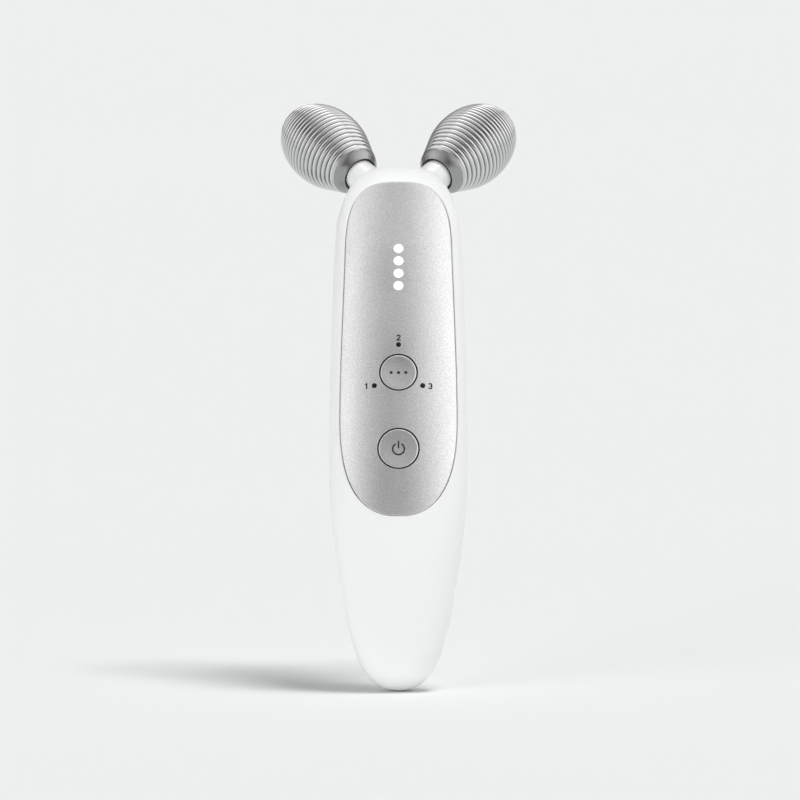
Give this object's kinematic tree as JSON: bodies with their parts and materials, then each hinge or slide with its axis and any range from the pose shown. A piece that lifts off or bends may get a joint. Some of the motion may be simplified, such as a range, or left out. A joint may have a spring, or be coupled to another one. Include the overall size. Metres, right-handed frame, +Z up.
{
  "type": "facial toning device",
  "caption": "Hand-held facial toning device: curved white grip with a satin faceplate, power and mode buttons, indicator lights and ridged metal rollers on splayed arms.",
  "frame": {"origin": "middle of the grip: half-way up the body, on the seam between the two housings", "axes": "+Z up the handle as it stands in the picture, -Y the side with the buttons, +X across the rollers to the picture's right"},
  "size_m": [0.0706, 0.0966, 0.1761],
  "materials": {
    "white_shell": "white with a soft sheen",
    "white_plug": "soft, white",
    "satin_plate": "fine satin grain",
    "satin_button": "fine satin grain",
    "dark_mark": "matt",
    "adhesive": "matt",
    "black_rubber": "matt",
    "black_plastic": "matt",
    "white_guide": "milky",
    "dark_guide": "smoked",
    "led": "clear over phosphor",
    "board": "solder mask",
    "coil": "matt",
    "capacitor": "sleeved can",
    "cell": "shrink sleeve",
    "foam": "closed foam",
    "lead": "insulation",
    "steel": "plain",
    "yoke": "glass-filled moulding",
    "roller": "satin plated",
    "roller_collar": "satin plated",
    "roller_core": "conductive moulding",
    "bronze": "sintered"
  },
  "bodies": {
    "handle": {"front_housing": "white_shell", "rear_housing": "white_shell", "housing_screws": "steel", "screw_plugs": "white_plug", "faceplate": "satin_plate", "plate_adhesive": "adhesive", "mode_switch": "black_plastic", "power_switch": "black_plastic", "button_seals": "black_rubber", "level_light_guide": "white_guide", "mode_light_guide": "dark_guide", "level_leds": "led", "mode_leds": "led", "main_board": "board", "board_screws": "steel", "control_chip": "black_plastic", "charge_chip": "black_plastic", "pulse_coil": "coil", "capacitors": "capacitor", "battery_cell": "cell", "battery_pads": "foam", "battery_leads": "lead", "socket_shell": "steel", "socket_tongue": "black_plastic", "socket_board": "board", "charge_leads": "lead", "arm_yoke": "yoke", "yoke_screws": "steel", "electrode_leads": "lead", "left_stem": "white_shell", "left_axle": "steel", "left_stem_seal": "black_rubber", "left_washer": "steel", "left_clip": "steel", "right_stem": "white_shell", "right_axle": "steel", "right_stem_seal": "black_rubber", "right_washer": "steel", "right_clip": "steel"},
    "left_roller": {"left_roller_shell": "roller", "left_roller_collar": "roller_collar", "left_roller_core": "roller_core", "left_inner_bush": "bronze", "left_outer_bush": "bronze"},
    "right_roller": {"right_roller_shell": "roller", "right_roller_collar": "roller_collar", "right_roller_core": "roller_core", "right_inner_bush": "bronze", "right_outer_bush": "bronze"},
    "mode_key": {"mode_button": "satin_button", "mode_symbol": "dark_mark", "mode_plunger": "black_plastic"},
    "power_key": {"power_button": "satin_button", "power_symbol": "dark_mark", "power_plunger": "black_plastic"}
  },
  "joints": [
    {"name": "left_roller_spin", "type": "hinge", "parent": "handle", "child": "left_roller", "pos_m": [-0.02172, 0.05805, 0.08451], "axis": [-0.5512, 0.7006, 0.4532], "continuous": true},
    {"name": "right_roller_spin", "type": "hinge", "parent": "handle", "child": "right_roller", "pos_m": [0.02172, 0.05805, 0.08451], "axis": [0.5512, 0.7006, 0.4532], "continuous": true},
    {"name": "mode_press", "type": "slide", "parent": "handle", "child": "mode_key", "axis": [0, 0.9607, -0.2774], "range_m": [0, 0.0005], "stiffness_N_per_m": 1500, "springref_m": -0.001},
    {"name": "power_press", "type": "slide", "parent": "handle", "child": "power_key", "axis": [0, 0.9607, -0.2774], "range_m": [0, 0.0005], "stiffness_N_per_m": 1500, "springref_m": -0.001}
  ]
}
